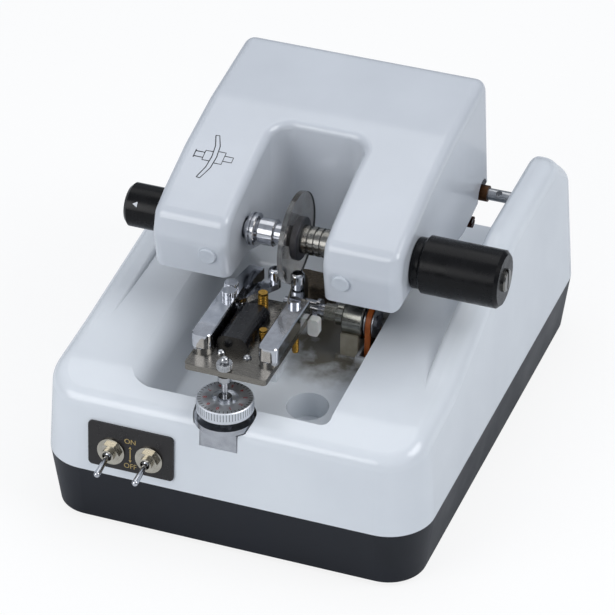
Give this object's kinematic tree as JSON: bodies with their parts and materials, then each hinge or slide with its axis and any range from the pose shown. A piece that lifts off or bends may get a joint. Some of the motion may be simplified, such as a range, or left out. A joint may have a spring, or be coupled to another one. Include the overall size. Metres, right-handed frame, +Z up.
{
  "type": "lens groover",
  "caption": "Bench lens edge groover with tilting head, lens chucks, groove wheel in a wet trough, guide arms on a swing plate, depth dial and toggle switches.",
  "frame": {"origin": "centre of the body's footprint on the bench, at the underside of the feet", "axes": "+Z up, -Y towards the user, +X to the user's right along the lens axis"},
  "size_m": [0.19, 0.2633, 0.1577],
  "materials": {
    "tray_plastic": "matte",
    "foot_rubber": "matte",
    "zinc_steel": "satin",
    "shell_plastic": "gloss",
    "core_steel": "satin",
    "board_laminate": "gloss",
    "black_plastic": "gloss",
    "bracket_steel": "satin",
    "ground_steel": "polished",
    "bush_bronze": "satin",
    "plug_plastic": "satin",
    "frame_aluminium": "satin",
    "motor_case": "satin",
    "gear_aluminium": "satin",
    "belt_rubber": "matte",
    "brown_screw": "satin",
    "chrome": "polished",
    "pad_rubber": "matte",
    "knob_plastic": "gloss",
    "lens_glass": "polished",
    "grey_rubber": "satin",
    "chuck_steel": "satin",
    "wheel_steel": "satin",
    "sleeve_plastic": "gloss",
    "block_plastic": "matte",
    "orange_belt": "satin",
    "sponge": "matte",
    "nylon": "satin",
    "brass": "polished",
    "bracket_satin": "satin",
    "dial_aluminium": "satin",
    "plate_black": "gloss",
    "switch_steel": "polished",
    "nickel": "polished",
    "toggle_steel": "polished"
  },
  "bodies": {
    "base": {"base_tray": "tray_plastic", "rubber_feet": "foot_rubber", "tray_screws": "zinc_steel", "body_shell": "shell_plastic", "transformer": "core_steel", "control_board": "board_laminate", "power_inlet": "black_plastic", "fuse_holder": "black_plastic", "hinge_brackets": "bracket_steel", "hinge_shaft": "ground_steel", "spindle_housing": "ground_steel", "spindle_block": "block_plastic", "wheel_belt": "orange_belt", "wheel_motor": "motor_case", "cooling_sponge": "sponge", "pedestal": "frame_aluminium", "dial_bracket": "bracket_satin", "switch_plate": "plate_black", "switch_housings": "switch_steel", "switch_nuts": "nickel"},
    "head": {"head_cover": "shell_plastic", "cap_plugs": "plug_plastic", "head_frame": "frame_aluminium", "hinge_bushes": "bush_bronze", "chuck_bearings": "zinc_steel", "lens_motor": "motor_case", "lens_belt": "belt_rubber", "stop_screw": "brown_screw"},
    "left_spindle": {"left_chuck": "chrome", "left_pad": "pad_rubber", "turn_knob": "knob_plastic", "spindle_pulley": "gear_aluminium", "lens_blank": "lens_glass"},
    "motor_pinion": {"lens_pinion": "gear_aluminium"},
    "clamp": {"clamp_knob": "knob_plastic", "clamp_screw": "chuck_steel"},
    "quill": {"clamp_quill": "ground_steel"},
    "right_holder": {"right_chuck": "chuck_steel", "right_pad": "grey_rubber"},
    "wheel_rotor": {"wheel_spindle": "chrome", "groove_wheel": "wheel_steel", "clear_sleeve": "sleeve_plastic", "wheel_pulley": "gear_aluminium"},
    "motor_rotor": {"motor_pulley": "gear_aluminium"},
    "dial": {"depth_dial": "dial_aluminium"},
    "rod": {"depth_rod": "ground_steel"},
    "plate": {"swing_plate": "chrome", "arm_posts": "ground_steel", "spring_cover": "black_plastic", "plate_screws": "ground_steel", "brass_posts": "brass", "side_clip": "nylon"},
    "arm_left": {"left_arm": "chrome", "left_arm_screws": "chuck_steel"},
    "arm_right": {"right_arm": "chrome", "right_arm_screw": "chuck_steel"},
    "roller_left": {"left_roller": "chrome"},
    "roller_right": {"right_roller": "chrome"},
    "toggle_lens": {"lens_toggle": "toggle_steel"},
    "toggle_wheel": {"wheel_toggle": "toggle_steel"}
  },
  "joints": [
    {"name": "head_tilt", "type": "hinge", "parent": "base", "child": "head", "pos_m": [0, 0.0585, 0.0973], "axis": [-1, 0, 0], "range_deg": [0, 48]},
    {"name": "lens_turn", "type": "hinge", "parent": "head", "child": "left_spindle", "pos_m": [0, -0.035, 0.117], "axis": [1, 0, 0], "continuous": true},
    {"name": "lens_motor_turn", "type": "hinge", "parent": "head", "child": "motor_pinion", "pos_m": [0, 0.032, 0.122], "axis": [1, 0, 0], "continuous": true},
    {"name": "clamp_turn", "type": "hinge", "parent": "head", "child": "clamp", "pos_m": [0, -0.035, 0.117], "axis": [1, 0, 0], "range_deg": [0, 720]},
    {"name": "quill_slide", "type": "slide", "parent": "head", "child": "quill", "axis": [1, 0, 0], "range_m": [0, 0.008]},
    {"name": "right_chuck_turn", "type": "hinge", "parent": "quill", "child": "right_holder", "pos_m": [0, -0.035, 0.117], "axis": [1, 0, 0], "continuous": true},
    {"name": "wheel_spin", "type": "hinge", "parent": "base", "child": "wheel_rotor", "pos_m": [0, -0.035, 0.081], "axis": [1, 0, 0], "continuous": true},
    {"name": "motor_spin", "type": "hinge", "parent": "base", "child": "motor_rotor", "pos_m": [0, -0.035, 0.027], "axis": [1, 0, 0], "continuous": true},
    {"name": "dial_turn", "type": "hinge", "parent": "base", "child": "dial", "pos_m": [-0.003, -0.1095, 0.076], "axis": [0, 0, 1], "range_deg": [0, 300]},
    {"name": "rod_slide", "type": "slide", "parent": "base", "child": "rod", "axis": [0, 0, 1], "range_m": [0, 0.0015]},
    {"name": "plate_tilt", "type": "hinge", "parent": "base", "child": "plate", "pos_m": [0, -0.062, 0.087], "axis": [-1, 0, 0], "range_deg": [0, 1.82]},
    {"name": "left_arm_swing", "type": "hinge", "parent": "plate", "child": "arm_left", "pos_m": [-0.0176, -0.0975, 0.0975], "axis": [0, 0, 1], "range_deg": [0, 6], "stiffness_Nm_per_rad": 0.015},
    {"name": "right_arm_swing", "type": "hinge", "parent": "plate", "child": "arm_right", "pos_m": [0.0132, -0.0975, 0.0975], "axis": [0, 0, -1], "range_deg": [0, 6]},
    {"name": "left_roller_turn", "type": "hinge", "parent": "arm_left", "child": "roller_left", "pos_m": [-0.00386, -0.046, 0.1025], "axis": [0, 0, 1], "continuous": true},
    {"name": "right_roller_turn", "type": "hinge", "parent": "arm_right", "child": "roller_right", "pos_m": [0.00663, -0.046, 0.1025], "axis": [0, 0, 1], "continuous": true},
    {"name": "lens_switch", "type": "hinge", "parent": "base", "child": "toggle_lens", "pos_m": [-0.053, -0.1231, 0.04467], "axis": [-1, 0, 0], "range_deg": [0, 24]},
    {"name": "wheel_switch", "type": "hinge", "parent": "base", "child": "toggle_wheel", "pos_m": [-0.035, -0.1231, 0.04467], "axis": [-1, 0, 0], "range_deg": [0, 24]}
  ],
  "couplings": [
    {"joint": "lens_motor_turn", "follows": "lens_turn", "ratio": 1.6},
    {"joint": "clamp_turn", "follows": "quill_slide", "rad_per_m": 1570.8},
    {"joint": "right_chuck_turn", "follows": "lens_turn", "ratio": 1},
    {"joint": "motor_spin", "follows": "wheel_spin", "ratio": 0.75},
    {"joint": "dial_turn", "follows": "rod_slide", "rad_per_m": 3490.7},
    {"joint": "plate_tilt", "follows": "rod_slide", "rad_per_m": 21.053},
    {"joint": "right_arm_swing", "follows": "left_arm_swing", "ratio": 1}
  ]
}
